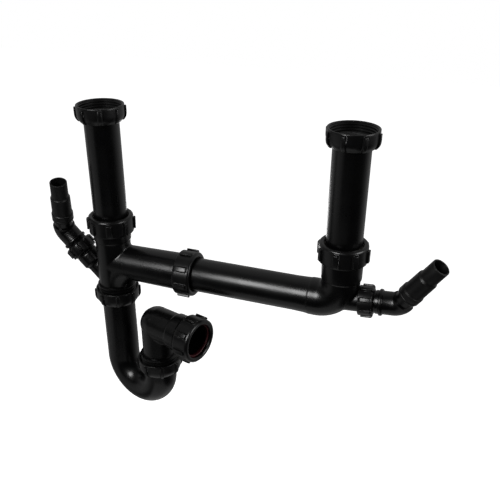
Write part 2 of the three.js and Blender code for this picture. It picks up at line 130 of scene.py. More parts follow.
def outline_loop(bm, outline):
    """Draws an outline of (radius, height, rounding) as bare edges with rounded corners."""
    corners = []
    for radius, height, *rounding in outline:
        corners.append((bm.verts.new((radius, 0, height)), rounding[0] if rounding else 0))
    bm.faces.new([v for v, _ in corners])
    for size in sorted({r for _, r in corners if r}):
        picked = [v for v, r in corners if r == size]
        bmesh.ops.bevel(bm, geom=picked, offset=size, offset_type="OFFSET",
                        segments=CORNER_STEPS, profile=0.5, affect="VERTICES", material=-1)
    bmesh.ops.delete(bm, geom=list(bm.faces), context="FACES_ONLY")


def turned(outline, steps=ROUND):
    """A closed ring or plug, spun from its outline."""
    bm = bmesh.new()
    outline_loop(bm, outline)
    bmesh.ops.spin(bm, geom=[*bm.verts, *bm.edges], cent=(0, 0, 0), axis=(0, 0, 1), dvec=(0, 0, 0),
                   angle=math.tau, steps=steps, use_merge=True, use_duplicate=False)
    bmesh.ops.remove_doubles(bm, verts=bm.verts, dist=MERGE)
    bmesh.ops.recalc_face_normals(bm, faces=bm.faces)
    return bm


def rod(radius, low, high):
    return turned([(0, low), (radius, low), (radius, high), (0, high)])


def moved(bm, matrix):
    bmesh.ops.transform(bm, matrix=matrix, verts=bm.verts)
    return bm


print("lathe: one turn in", ROUND, "steps")

# %% [markdown]
# ## Bent pieces
#
# A bend could be a curve with a round bevel, but its ends would then need closing by hand. Here a
# disc is extruded along the first straight, its open rim is spun about the centre of the bend,
# and the last rim is extruded again and capped. The rod that comes out is closed, so it can be
# joined to others or taken out of them.

# %% Bent rods
def only(geom, kind):
    return [item for item in geom if isinstance(item, kind)]


def swept(radius, before, bend, angle, after, steps=24):
    """A rod that rises along Z, bends towards +X, and runs on."""
    bm = bmesh.new()
    bmesh.ops.create_circle(bm, cap_ends=True, segments=ROUND, radius=radius)
    rise = bmesh.ops.extrude_face_region(bm, geom=bm.faces[:])["geom"]
    bmesh.ops.translate(bm, verts=only(rise, bmesh.types.BMVert), vec=(0, 0, before))
    cap = only(rise, bmesh.types.BMFace)
    rim = list(cap[0].edges)
    bmesh.ops.delete(bm, geom=cap, context="FACES_ONLY")
    bent = bmesh.ops.spin(bm, geom=[*rim, *{v for e in rim for v in e.verts}],
                          cent=(bend, 0, before), axis=(0, 1, 0), dvec=(0, 0, 0),
                          angle=math.radians(angle), steps=steps, use_merge=False,
                          use_duplicate=False)["geom_last"]
    run = bmesh.ops.extrude_edge_only(bm, edges=only(bent, bmesh.types.BMEdge))["geom"]
    way = Matrix.Rotation(math.radians(angle), 3, "Y") @ Vector((0, 0, after))
    bmesh.ops.translate(bm, verts=only(run, bmesh.types.BMVert), vec=way)
    bmesh.ops.contextual_create(bm, geom=only(run, bmesh.types.BMEdge))
    bmesh.ops.recalc_face_normals(bm, faces=bm.faces)
    return bm


trial = swept(10, 5, 20, 90, 5)
print("a quarter bend has", len(trial.faces), "faces")
trial.free()

# %% [markdown]
# ## Joining and hollowing
#
# A tee or an elbow is several round shapes run together and then bored out. A Boolean modifier
# joins and cuts them. Its exact solver copes with any mesh, but on shapes with this many cells it
# can leave open edges or lose a shape. The manifold solver needs closed shapes, and from them it
# gives one closed shape, the same one each time.

# %% Joining and cutting
def shell(bm, name="shape"):
    """A mesh object made from a bmesh, which is used up."""
    mesh = bpy.data.meshes.new(name)
    bm.to_mesh(mesh)
    bm.free()
    obj = bpy.data.objects.new(name, mesh)
    bpy.context.collection.objects.link(obj)
    return obj


def applied(obj, others=()):
    """The mesh of an object with its modifiers, as a new bmesh; the objects are removed."""
    ready = obj.evaluated_get(bpy.context.evaluated_depsgraph_get())
    bm = bmesh.new()
    bm.from_mesh(ready.to_mesh())
    ready.to_mesh_clear()
    for used in (obj, *others):
        mesh = used.data
        bpy.data.objects.remove(used)
        bpy.data.meshes.remove(mesh)
    return bm


def carved(adds, cuts=()):
    """The first shape joined with the other adds, and the cuts taken out of it."""
    base = shell(adds[0])
    others = []
    for operation, shapes in (("UNION", adds[1:]), ("DIFFERENCE", cuts)):
        for shape in shapes:
            other = shell(shape)
            others.append(other)
            step = base.modifiers.new(operation, "BOOLEAN")
            step.operation = operation
            step.solver = "MANIFOLD"
            step.object = other
    return applied(base, others)


trial = carved([rod(10, 0, 20)], [rod(8, -1, 21)])
print("a bored rod has", len(trial.faces), "faces")
trial.free()

# %% [markdown]
# ## Melted creases
#
# A boolean leaves a knife-sharp crease where two pipes meet, but a mould leaves a small fillet
# there. Bevelling such a crease breaks where it fades into a smooth surface. So the outside is
# remeshed into small even cells and relaxed a little before it's bored, which melts only the
# creases.

# %% Melting
def melted(bm, cell, rounds):
    """Turns a closed shape into even cells and relaxes them, which rounds its creases."""
    obj = shell(bm)
    step = obj.modifiers.new("cells", "REMESH")
    step.mode = "VOXEL"
    step.voxel_size = cell
    bm = applied(obj)
    for _ in range(rounds):
        bmesh.ops.smooth_vert(bm, verts=bm.verts, factor=0.5, use_axis_x=True, use_axis_y=True,
                              use_axis_z=True)
    return bm


trial = melted(rod(10, 0, 20), 1.5, 2)
print("a melted rod has", len(trial.faces), "faces")
trial.free()

# %% [markdown]
# ## Finishes
#
# Polypropylene out of a polished mould is black with a soft gloss. Seen closely it has a faint
# ripple, a very fine grain and patches that are a little duller where hands have rubbed it. The
# ripple and grain are bump, the patches change the roughness, and all of it is noise on Object
# coordinates, so the pattern stays put when a piece moves. The nuts are the same plastic from a
# spark-eroded mould, so their grain is stronger, and the hose tails are duller. The rubber and
# the natural slip rings use the same recipe with other numbers.

# %% Materials
RUBBED_PATCHES = 38
TINT_MOTTLE = 160
MOULD_RIPPLE = 95
MOULD_GRAIN = 2600


def bump(nodes, links, height, strength, distance):
    node = nodes.new("ShaderNodeBump")
    node.inputs["Strength"].default_value = strength
    node.inputs["Distance"].default_value = distance
    links.new(height, node.inputs["Height"])
    return node


def finish_of(name, dark, light, rough, grain, ripple, specular=0.5):
    """A moulded surface: two tints, a range of roughness, and heights of grain and ripple."""
    material = bpy.data.materials.new(name)
    material.use_nodes = True
    nodes = material.node_tree.nodes
    links = material.node_tree.links
    shader = nodes["Principled BSDF"]
    shader.inputs["IOR"].default_value = 1.5
    shader.inputs["Specular IOR Level"].default_value = specular
    spot = nodes.new("ShaderNodeTexCoord")

    def noise(scale, detail):
        node = nodes.new("ShaderNodeTexNoise")
        node.inputs["Scale"].default_value = scale
        node.inputs["Detail"].default_value = detail
        links.new(spot.outputs["Object"], node.inputs["Vector"])
        return node.outputs["Fac"]

    spread = nodes.new("ShaderNodeMapRange")
    spread.inputs["From Min"].default_value = 0.3
    spread.inputs["From Max"].default_value = 0.7
    spread.inputs["To Min"].default_value = rough[0]
    spread.inputs["To Max"].default_value = rough[1]
    links.new(noise(RUBBED_PATCHES, 3), spread.inputs["Value"])
    links.new(spread.outputs["Result"], shader.inputs["Roughness"])
    tint = nodes.new("ShaderNodeMix")
    tint.data_type = "RGBA"
    tint.inputs["A"].default_value = (*dark, 1)
    tint.inputs["B"].default_value = (*light, 1)
    links.new(noise(TINT_MOTTLE, 4), tint.inputs["Factor"])
    links.new(tint.outputs["Result"], shader.inputs["Base Color"])
    waves = bump(nodes, links, noise(MOULD_RIPPLE, 2), 0.5, ripple)
    fine = bump(nodes, links, noise(MOULD_GRAIN, 3), 0.4, grain)
    links.new(waves.outputs["Normal"], fine.inputs["Normal"])
    links.new(fine.outputs["Normal"], shader.inputs["Normal"])
    return material


FINISHES = {
    "gloss_black": finish_of("moulded black gloss", (0.0008, 0.0008, 0.0009),
                             (0.0018, 0.0018, 0.0020), (0.25, 0.31), 0.00002, 0.00006),
    "satin_black": finish_of("black nut satin", (0.0016, 0.0016, 0.0017),
                             (0.0036, 0.0036, 0.0038), (0.27, 0.35), 0.00004, 0.00008),
    "matt_black": finish_of("matt black tail", (0.0015, 0.0015, 0.0016),
                            (0.004, 0.004, 0.0042), (0.40, 0.50), 0.00006, 0.00005, 0.4),
    "seal_red": finish_of("dark red rubber", (0.03, 0.0015, 0.003),
                          (0.06, 0.003, 0.006), (0.45, 0.6), 0.00005, 0.00005),
    "washer_black": finish_of("black rubber", (0.008, 0.008, 0.008),
                              (0.016, 0.016, 0.016), (0.6, 0.75), 0.00006, 0.00005),
    "slip_white": finish_of("natural slip plastic", (0.5, 0.48, 0.42),
                            (0.62, 0.6, 0.54), (0.4, 0.5), 0.00003, 0.00004),
}
print("finishes:", len(FINISHES))

# %% [markdown]
# ## Handing a piece over
#
# Each finished piece is moved into place in its own mesh, so that its object stays at the origin
# and its pattern sits still. Smooth shading with sharp edges above a set angle keeps round walls
# round and moulded corners crisp. Then it's hung on the empty of the body that carries it, the CAD
# node it stands in for is hidden, and it gets its finish.

# %% Finishing
SHARP = math.radians(35)


def finished(bm, name, body, node, finish, place):
    """Puts a shape in its place in metres, hangs it on its body, hides its CAD node and gives it its finish."""
    bmesh.ops.transform(bm, matrix=place @ Matrix.Scale(MM, 4), verts=bm.verts)
    obj = shell(bm, name)
    obj.data.shade_smooth()
    obj.data.set_sharp_from_angle(angle=SHARP)
    obj.data.materials.append(FINISHES[finish])
    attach(obj, body)
    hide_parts(node)
    print(f"{name}: {len(obj.data.polygons)} faces on {body}")


print("sharp above", round(math.degrees(SHARP)), "degrees")

# %% [markdown]
# ## Screw threads
#
# A real thread is a helix, but seen from the side its turns read as rings, and rings come off the
# lathe for nothing. So a thread is a few more points in a turned outline, with a narrow crest and
# a wider root. The nuts have the same rings inside.

# %% Thread rings
def threads(low, high, root, crest, pitch=3.0):
    """Outline points of thread rings between two heights, from low to high."""
    count = max(1, round((high - low) / pitch))
    step = (high - low) / count
    points = []
    for turn in range(count):
        foot = low + turn * step
        points += [(root, foot), (root, foot + 0.3 * step)]
        points += [(crest, foot + 0.55 * step), (crest, foot + 0.75 * step)]
    return [*points, (root, high)]


print("a 15 mm thread has", len(threads(0, 15, 23.3, 24.4)), "outline points")

# %% [markdown]
# ## Lugged nuts
#
# A plumber turns these nuts by hand, so each has eight square lugs round a plain barrel. The end
# wall has a rounded rim and a stepped hole for the pipe, and the other end is threaded inside.
# The barrel is turned first. Then the faces under each lug are extruded outwards and their edges
# bevelled, which is how the lugs grow out of the barrel in the mould too.
#
# A screw piece also needs the angle of its first lug. That is the mean angle of the CAD vertices
# that stand furthest from the axis, counted modulo one lug's pitch.

# %% Lugs
LUGS = 8
NUT_ROUND = 128
LUG_EDGE = 0.6
LUG_CORNER = 0.9
SHOULDER = 4.4
FACES_UP = 0.8


def lug_angle(node, place):
    """The angle of a nut's lugs about its place's Z axis."""
    back = place.inverted()
    spots = [back @ v.co for v in frame["nodes"][node].data.vertices]
    reach = max(math.hypot(p.x, p.y) for p in spots)
    tips = [math.atan2(p.y, p.x) * LUGS for p in spots if math.hypot(p.x, p.y) > 0.99 * reach]
    return math.atan2(sum(map(math.sin, tips)), sum(map(math.cos, tips))) / LUGS


def under_lugs(bm, barrel, lug_span, reach):
    """The outer faces of a barrel that lie under its lugs."""
    pitch = math.tau / LUGS
    found = []
    for face in bm.faces:
        spot = face.calc_center_median()
        off = (math.atan2(spot.y, spot.x) + pitch / 2) % pitch - pitch / 2
        outward = face.normal.x * spot.x + face.normal.y * spot.y > 0
        on_side = math.hypot(spot.x, spot.y) > barrel - SHOULDER and face.normal.z < FACES_UP
        in_span = -lug_span[1] < spot.z < -lug_span[0]
        if abs(off) < reach and outward and on_side and in_span:
            found.append(face)
    return found


def nut(barrel, proud, lug_span, lug_faces, outline):
    """A nut with its lip at z = 0, its body below, and the middle of a lug on +X."""
    bm = turned(outline, NUT_ROUND)
    half_face = math.pi / NUT_ROUND
    start = -half_face if lug_faces % 2 else 0
    bmesh.ops.rotate(bm, cent=(0, 0, 0), matrix=Matrix.Rotation(start, 3, "Z"), verts=bm.verts)
    under = under_lugs(bm, barrel, lug_span, lug_faces * half_face * 1.01)
    raised = only(bmesh.ops.extrude_face_region(bm, geom=under)["geom"], bmesh.types.BMVert)
    for v in raised:
        growth = 1 + proud / math.hypot(v.co.x, v.co.y)
        v.co.x *= growth
        v.co.y *= growth
    beside = {e for v in raised for e in v.link_edges}
    edges = [e for e in beside if e.calc_face_angle(0) > LUG_CORNER]
    bmesh.ops.bevel(bm, geom=edges, offset=LUG_EDGE, offset_type="OFFSET", segments=CORNER_STEPS,
                    profile=0.5, affect="EDGES", clamp_overlap=True, material=-1)
    bmesh.ops.recalc_face_normals(bm, faces=bm.faces)
    return bm


print("lugs:", LUGS, "at every", 360 // LUGS, "degrees")

# %% [markdown]
# ## Two kinds of nut
#
# The nuts round the sliding pipes have a plain rim on the end you see, and their lugs stop short
# of both ends. The nuts that pull up a flange are drawn in to the pipe by a chamfer, and their
# lugs run on down that chamfer.

# %% Nut shapes
NUT_BARREL = 27.6
NUT_THREAD_ROOT = 24.9
NUT_THREAD_CREST = 24.2
NUT_WALL = 2.8
NUT_HOLE = 21.3
PIPE_NUT_LENGTH = 22
PIPE_NUT_LUGS = (4.4, 18.9)
FLANGE_NUT_LENGTH = 19.6
FLANGE_NUT_LUGS = (0.6, 17.1)


def pipe_nut():
    """The nut that squeezes the seal round a sliding pipe."""
    foot = -PIPE_NUT_LENGTH
    return nut(NUT_BARREL, 2.5, PIPE_NUT_LUGS, 4, [
        *threads(foot + 1, -6, NUT_THREAD_ROOT, NUT_THREAD_CREST), (24.4, -NUT_WALL),
        (NUT_HOLE, -NUT_WALL, 0.3), (21.5, -1.4, 0.5), (22.9, 0, 0.6), (24.4, 0, 0.4),
        (NUT_BARREL, 0, 2.9), (NUT_BARREL, -PIPE_NUT_LUGS[0]), (NUT_BARREL, -PIPE_NUT_LUGS[1]),
        (NUT_BARREL, foot, 1.0), (26.0, foot, 0.5),
    ])


def flange_nut():
    """The nut that pulls a flange up: its lip end is drawn in to the pipe."""
    foot = -FLANGE_NUT_LENGTH
    return nut(NUT_BARREL, 2.1, FLANGE_NUT_LUGS, 3, [
        *threads(foot + 1.2, -6, NUT_THREAD_ROOT, NUT_THREAD_CREST), (24.4, -NUT_WALL),
        (NUT_HOLE, -NUT_WALL, 0.3), (NUT_HOLE, 0, 0.6), (23.6, 0, 0.6), (23.9, -0.6),
        (26.6, -4.0, 1.6), (NUT_BARREL, -8.0, 1.6), (NUT_BARREL, -FLANGE_NUT_LUGS[1]),
        (NUT_BARREL, foot, 0.6), (26.2, foot, 0.4),
    ])


print("nuts are", 2 * NUT_BARREL, "mm across the barrel")

# %% [markdown]
# ## The eight large nuts
#
# A pipe nut's lip faces the way its joint's axis points. The waste nuts hang the other way up, so
# their axis is reversed. The outlet's nut is screwed on by fewer turns than the others, so it's
# set a little further out.

# %% Large nuts
PIPE_NUTS = ("left_tube_nut", "right_tube_nut", "crossbar_nut", "outlet_nut")
FLANGE_NUTS = {"left_waste_nut": -1, "right_waste_nut": -1, "trap_inlet_nut": 1,
               "trap_outlet_nut": 1}
OUTLET_NUT_OUT = 2.4


def nut_seat(node, sign=1):
    place = end_of(node, joint_axes(f"{node}_turn", sign))
    return place @ Matrix.Rotation(lug_angle(node, place), 4, "Z")


for node in PIPE_NUTS:
    seat = nut_seat(node)
    if node == "outlet_nut":
        seat = seat @ Matrix.Translation((0, 0, OUTLET_NUT_OUT * MM))
    finished(pipe_nut(), f"{node}_piece", node, node, "satin_black", seat)
for node, sign in FLANGE_NUTS.items():
    finished(flange_nut(), f"{node}_piece", node, node, "satin_black", nut_seat(node, sign))

# %% [markdown]
# ## Straight tubes
#
# Each sink waste drops into a plain tube with a flange at its top. The nut holds the flange up
# against a rubber washer. A tube is one turned outline with its open ends very slightly rounded.

# %% Inlet tubes
BORE = 18.2
TUBE_OUT = 20.5
FLANGE_OUT = 24
FLANGE_THICK = 2.6
UP = {side: joint_axes(f"{side}_tube_nut_turn") for side in ("left", "right")}


def inlet_tube(low, high):
    ledge = high - FLANGE_THICK
    return turned([
        (BORE, low, 0.4), (TUBE_OUT, low, 0.6), (TUBE_OUT, ledge, 0.5), (FLANGE_OUT, ledge, 0.5),
        (FLANGE_OUT, high, 0.3), (BORE + 0.8, high), (BORE, high - 0.8),
    ])


for side, place in UP.items():
    finished(inlet_tube(*span(f"{side}_tailpiece", place)), f"{side}_inlet_tube",
             f"{side}_inlet", f"{side}_tailpiece", "gloss_black", place)

# %% [markdown]
# ## Rubber and slip rings
#
# The rings inside the nuts are what keeps the water in. A flat washer sits on each flange, and a
# seal with a sloping foot is wedged round each sliding pipe by a slippery ring. Only their edges
# show, in the mouths of the nuts, so each is one turned outline between its CAD node's heights.
# The outlet has no pipe in it, so its seal is seen, and gets the soft lip that grips the pipe.

# %% Rings
RING_FINISH = {"seal": "seal_red", "slip_ring": "slip_white", "washer": "washer_black"}
RING_OUT = 24.0
BODY = {node: body for body, nodes in frame["record"]["behaviour"]["bodies"].items()
        for node in nodes}


def ring_outline(node, kind, low, high):
    if "nozzle" in node:
        return [(8.4, low, 0.3), (14.0, low, 0.3), (14.0, high, 0.3), (8.4, high, 0.3)]
    if kind == "slip_ring":
        return [(21.0, low, 0.3), (RING_OUT, low, 0.3), (RING_OUT, high, 0.3), (21.0, high, 0.3)]
    if kind == "washer":
        return [(18.6, low, 0.4), (RING_OUT, low, 0.5), (RING_OUT, high, 0.5), (18.6, high, 0.4)]
    foot = [(22.5, low, 0.5), (RING_OUT, low + 1.8, 0.5), (RING_OUT, high, 0.5)]
    if node == "outlet_seal":
        return [(20.3, low, 0.3), *foot, (21.6, high, 0.3), (21.0, high + 1.6, 0.4),
                (19.7, high + 1.2, 0.4), (19.5, high - 1.0, 0.4)]
    return [(20.75, low, 0.3), *foot, (20.75, high, 0.5)]


for node in [name for name in frame["nodes"] if name.endswith(tuple(RING_FINISH))]:
    kind = next(k for k in RING_FINISH if node.endswith(k))
    nut_name = node.removesuffix(kind) + "nut"
    place = joint_axes(f"{nut_name}_turn", -1 if node.startswith("trap") else 1)
    ring = turned(ring_outline(node, kind, *span(node, place)))
    finished(ring, f"{node}_ring", BODY[node], node, RING_FINISH[kind], place)

# %% [markdown]
# ## Sockets
#
# Every sliding pipe ends in a socket: the pipe's wall steps out to a collar, and the collar ends
# in a male thread for the nut. Both are turned, and they are joined to a melted body afterwards,
# so that their edges stay crisp. The nozzles' bosses carry a finer thread.

# %% Collars and male threads
SOCKET_BORE = 21.1
SOCKET_OUT = 23.3
SOCKET_INNER = 19.5
THREAD_CREST = 24.4
TRAP_THREAD = {"root": 22.2, "pitch": 4.2}
NOZZLE_BORE = 8
BOSS_THREAD = (13.6, 14.3, 2.5)
BOSS_SHORT = 7.9
OVERCUT = 1


def collar(low, high):
    return turned([(SOCKET_INNER, low), (22.0, low), (SOCKET_OUT, low + 1.6, 0.7),
                   (SOCKET_OUT, high, 0.6), (SOCKET_INNER, high)])


def threaded(low, high, root=SOCKET_OUT, pitch=3.0):
    return turned([(SOCKET_INNER, low), *threads(low, high, root, THREAD_CREST, pitch),
                   (SOCKET_INNER, high)])


def boss_thread(low, nut_face):
    """The thread on a nozzle's boss, which stops short of its nut's outer face."""
    high = nut_face - BOSS_SHORT
    return turned([(9, low), *threads(low, high, *BOSS_THREAD), (9, high)])


def within(home, place):
    """A place in metres as it's seen from a home place, in the home's millimetres."""
    seen = home.inverted() @ place
    return Matrix.Translation(seen.translation / MM) @ seen.to_3x3().to_4x4()


NOZZLE_AXIS = {side: joint_axes(f"{side}_nozzle_nut_turn") for side in ("left", "right")}
NOZZLE_FACE = {side: span(f"{side}_nozzle_nut", NOZZLE_AXIS[side])[1] for side in NOZZLE_AXIS}
print("nozzle nuts end at", {side: round(face, 1) for side, face in NOZZLE_FACE.items()})

# %% [markdown]
# ## The swept tee
#
# Water from the right sink comes along the branch and should turn down, not splash across. So
# the branch sweeps down into the upright on a wide bend, and its outside meets the upright in a
# long curved crease. The upright, the straight branch, the bend and the nozzle's boss are joined
# and melted, the sockets are added, and everything is bored last.

# %% Tee
CROSS = joint_axes("crossbar_nut_turn")
TEE = axes((0, 0, 1), CROSS.translation)
LEFT_BOSS = within(TEE, NOZZLE_AXIS["left"])
LYING = Matrix.Rotation(math.radians(90), 4, "Y")
TUBE_PLAY = 8.1
TEE_CELL = 0.72


def tee():
    foot, top = span("tee_body", TEE)
    tip = span("tee_body", CROSS)[1]
    tube_end = span("left_tailpiece", TEE)[0]
    body = carved([
        turned([(0, foot + 12), (22, foot + 12), (22, 40), (0, 40)]),
        moved(turned([(0, 0), (22.1, 0), (22.4, 40), (23.1, 88), (0, 88)]), LYING),
        moved(swept(21.8, 2, 34, 90, 34, steps=32), Matrix.Translation((0, 0, -36))),
        moved(turned([(0, 12), (11.4, 12), (11.4, 42), (14.1, 44.2, 0.5), (14.1, 58), (0, 58)]),
              LEFT_BOSS),
    ])
    return carved([
        melted(body, TEE_CELL, 5),
        threaded(foot, foot + 18.6, **TRAP_THREAD),
        collar(30, 45),
        threaded(44.5, top),
        moved(turned([(19.5, 86), (23.1, 86), (23.3, 92, 0.5), (23.3, 94, 0.4), (19.5, 94)]),
              LYING),
        moved(threaded(93.5, tip), LYING),
        moved(boss_thread(57, NOZZLE_FACE["left"]), LEFT_BOSS),
    ], [
        rod(BORE, foot - OVERCUT, 30),
        rod(SOCKET_BORE, tube_end - TUBE_PLAY, top + OVERCUT),
        moved(rod(BORE, 0, 41), LYING),
        moved(rod(SOCKET_BORE, 40, tip + OVERCUT), LYING),
        moved(rod(NOZZLE_BORE, 0, NOZZLE_FACE["left"]), LEFT_BOSS),
    ])


finished(tee(), "swept_tee", "tee", "tee_body", "gloss_black", TEE)

# %% [markdown]
# ## The crossbar and the right elbow
#
# The crossbar is a long pipe moulded in one with the elbow under the right sink. The elbow is a
# tight bend that grows into a socket, and a second nozzle branches from its outside. The long
# plain pipe is turned, and only the elbow is melted like the tee, so that the pipe stays smooth.

# %% Crossbar and right elbow
RIGHT = axes((0, 0, 1), (UP["right"].translation.x, 0, TEE.translation.z))
RIGHT_BOSS = within(RIGHT, NOZZLE_AXIS["right"])
SPACING = (RIGHT.translation.x - TEE.translation.x) / MM
ELBOW_BEND = 26
CROSSBAR_OUT = 20.7


def right_elbow():
    top = span("right_elbow_pipe", RIGHT)[1]
    start = span("right_elbow_pipe", CROSS)[0] - SPACING
    toward = Matrix.Translation((-ELBOW_BEND, 0, 0)) @ LYING @ Matrix.Rotation(math.pi, 4, "Z")
    body = carved([
        moved(turned([(0, -90), (CROSSBAR_OUT, -90), (CROSSBAR_OUT, -52), (21.1, -40), (22, -28),
                      (22, -24), (0, -24)]), LYING),
        moved(swept(22, 8, ELBOW_BEND, 90, 4), toward @ Matrix.Translation((0, 0, -8))),
        turned([(0, 24), (22, 24), (22, 34), (0, 34)]),
        moved(rod(13.6, 0, 26), RIGHT_BOSS),
    ])
    return carved([
        melted(body, TEE_CELL, 5),
        moved(turned([(18.6, start), (CROSSBAR_OUT, start, 0.3), (CROSSBAR_OUT, -88),
                      (18.6, -88)]), LYING),
        collar(30, 55),
        threaded(54.5, top),
        moved(boss_thread(25, NOZZLE_FACE["right"]), RIGHT_BOSS),
    ], [
        moved(rod(BORE, start - OVERCUT, -ELBOW_BEND), LYING),
        moved(swept(BORE, 0.5, ELBOW_BEND, 90, 8), toward @ Matrix.Translation((0, 0, -0.5))),
        rod(SOCKET_BORE, 32, top + OVERCUT),
        moved(rod(NOZZLE_BORE, 0, NOZZLE_FACE["right"]), RIGHT_BOSS),
    ])


finished(right_elbow(), "crossbar_and_elbow", "right_elbow", "right_elbow_pipe", "gloss_black",
         RIGHT)

# %% [markdown]
# ## The U bend
#
# The trap is one length of tube bent through half a turn, with a flange on each leg that its nut
# pulls up. It's a swept rod with a thinner swept rod taken out of it. The long leg rises higher
# than the short one, so the rods start at its top.

# %% Trap
LONG_LEG = joint_axes("trap_inlet_nut_turn", -1)
SHORT_LEG = joint_axes("trap_outlet_nut_turn", -1)
TRAP_OUT = 21
TRAP_ACROSS = SHORT_LEG.translation - LONG_LEG.translation
TRAP_ACROSS.z = 0
TRAP_BEND = TRAP_ACROSS.length / MM / 2
TRAP = axes((0, 0, -1), LONG_LEG.translation, TRAP_ACROSS)


def trap_flange(x, top):
    ring = turned([(20, top), (FLANGE_OUT, top, 0.3), (FLANGE_OUT, top + FLANGE_THICK, 0.5),
                   (20, top + FLANGE_THICK)])
    return moved(ring, Matrix.Translation((x, 0, 0)))


def trap():
    inlet_top, deep = span("trap_u_bend", TRAP)
    bend_at = deep - TRAP_OUT - TRAP_BEND
    outlet_top = span("trap_outlet_washer", TRAP)[1] + 0.3
    legs = (bend_at - inlet_top, bend_at - outlet_top)
    outer = moved(swept(TRAP_OUT, legs[0], TRAP_BEND, 180, legs[1], steps=64),
                  Matrix.Translation((0, 0, inlet_top)))
    inner = moved(swept(BORE, legs[0] + OVERCUT, TRAP_BEND, 180, legs[1] + OVERCUT, steps=64),
                  Matrix.Translation((0, 0, inlet_top - OVERCUT)))
    flanges = [trap_flange(0, inlet_top), trap_flange(2 * TRAP_BEND, outlet_top)]
    return carved([outer, *flanges], [inner])


finished(trap(), "u_bend", "trap", "trap_u_bend", "gloss_black", TRAP)

# %% [markdown]
# ## The outlet elbow
#
# A tight elbow stands on the trap's short leg and holds the outlet pipe's socket. Its arm is a
# little wider than its upright, and the two meet in a soft crease that runs down the side.

# %% Outlet elbow
ARM = joint_axes("outlet_nut_turn")
OUTLET = axes((0, 0, 1), (SHORT_LEG.translation.x, SHORT_LEG.translation.y, ARM.translation.z),
              joints["outlet_nut_turn"]["axis"])
OUTLET_BEND = 22.5
OUTLET_CELL = 0.66


def outlet():
    foot = span("outlet_elbow", OUTLET)[0]
    mouth = span("outlet_elbow", ARM)[1]
    body = carved([
        turned([(0, foot + 12), (20.8, foot + 12), (20.8, 0), (19.6, 8), (16.4, 14.5), (11, 18.8),
                (0, 21)]),
        moved(turned([(0, -21.4), (8, -20.4), (14.5, -16.2), (19.4, -9.5), (21.5, 0), (21.6, 28),
                      (22, 31), (0, 31)]), LYING),
    ])
    return carved([
        melted(body, OUTLET_CELL, 7),
        threaded(foot, foot + 17.6, **TRAP_THREAD),
        moved(turned([(19, 29.5), (22.2, 29.5), (23.3, 31.2, 0.6), (23.3, 43, 0.5), (19, 43)]),
              LYING),
        moved(threaded(42.5, mouth), LYING),
    ], [
        moved(swept(BORE, OVERCUT - OUTLET_BEND - foot, OUTLET_BEND, 90, 4),
              Matrix.Translation((0, 0, foot - OVERCUT))),
        moved(rod(SOCKET_BORE, 24, mouth + OVERCUT), LYING),
    ])


finished(outlet(), "outlet_elbow_piece", "outlet_elbow", "outlet_elbow", "gloss_black", OUTLET)

# %% [markdown]
# ## The hose nozzles
#
# Each nozzle is a small flanged elbow, held on its boss by its own nut, with a stepped tail that
# a drain hose is pushed over. The elbow is swept, because its neck narrows in two steps round the
# bend, and the tail is turned, with the fine groove that grips the hose.

# %% Nozzle shapes
CORNER = 26.3
ELBOW_TURN = 13.6
NECK_OUT = 13.5
FLANGE_FOOT = -4.7
NOZZLE_NUT = 17.3


def nozzle_nut(low, high):
    foot = low - high
    return moved(nut(NOZZLE_NUT, 1.9, (0.8, -foot - 3.2), 5, [
        *threads(foot + 1, -5, 14.9, 14.4, 2.5), (14.6, -2.4), (12.2, -2.4, 0.3),
        (12.2, 0, 0.5), (14.6, 0, 0.5), (NOZZLE_NUT, -2.2, 0.9), (NOZZLE_NUT, foot + 3.2),
        (NOZZLE_NUT, foot, 0.8), (15.6, foot, 0.4),
    ]), Matrix.Translation((0, 0, high)))


def nozzle_elbow(angle, nut_top):
    """The flange, neck and rib, and a bend that narrows in two steps inside the tail."""
    setback = ELBOW_TURN * math.tan(math.radians(angle) / 2)
    start = CORNER - setback
    neck = turned([
        (0, FLANGE_FOOT), (14, FLANGE_FOOT, 0.3), (14, FLANGE_FOOT + 2, 0.3),
        (11.6, FLANGE_FOOT + 2), (11.6, nut_top + 0.3), (13.6, nut_top + 0.3, 0.4),
        (13.6, 3.9, 0.2), (15.4, 4.4, 1.0), (15.4, 8.0, 1.3), (NECK_OUT, 8.6, 0.3),
        (NECK_OUT, start + 0.5), (0, start + 0.5)])

    def bent(radius, before, after):
        rise = Matrix.Translation((0, 0, start - before))
        return moved(swept(radius, before, ELBOW_TURN, angle, after), rise)

    return carved(
        [neck, bent(NECK_OUT, 0.8, 0.3), bent(11.3, 1, 15.6 - setback),
         bent(10.8, 1.2, 33 - setback)],
        [rod(NOZZLE_BORE, FLANGE_FOOT - OVERCUT, start + 0.5),
         bent(NOZZLE_BORE, 0.5, 34 - setback)])


def hose_tail():
    groove = [(13.3, 19.2, 0.2), (12.9, 19.7, 0.2), (12.9, 20.1, 0.2), (13.3, 20.6, 0.2)]
    return turned([
        (11.2, 15.9), (12.3, 15.9, 0.3), (13.3, 17.0, 0.4), *groove, (13.3, 26.6, 0.5),
        (12.3, 27.4, 0.3), (12.0, 50.6, 0.4), (11.0, 52.0, 0.3), (10.5, 53.4, 0.3),
        (10.4, 73.3, 0.5), (8.7, 73.3, 0.4), (8.6, 34), (11.2, 34),
    ])


print("nozzle elbows turn on a radius of", ELBOW_TURN, "mm")

# %% [markdown]
# ## The two nozzles
#
# The two nozzles' nuts differ a little in length and in how far they are screwed on, so each has
# its own span. The elbow leaves along the boss's axis and bends towards the end of its
# hose tail, which the CAD model marks with a mount.

# %% Nozzles
NUT_SPAN = {"left": (-13.5, 1.8), "right": (-18.6, -1.4)}
MOUNTS = {row["name"]: row for row in frame["record"]["mounts"]}

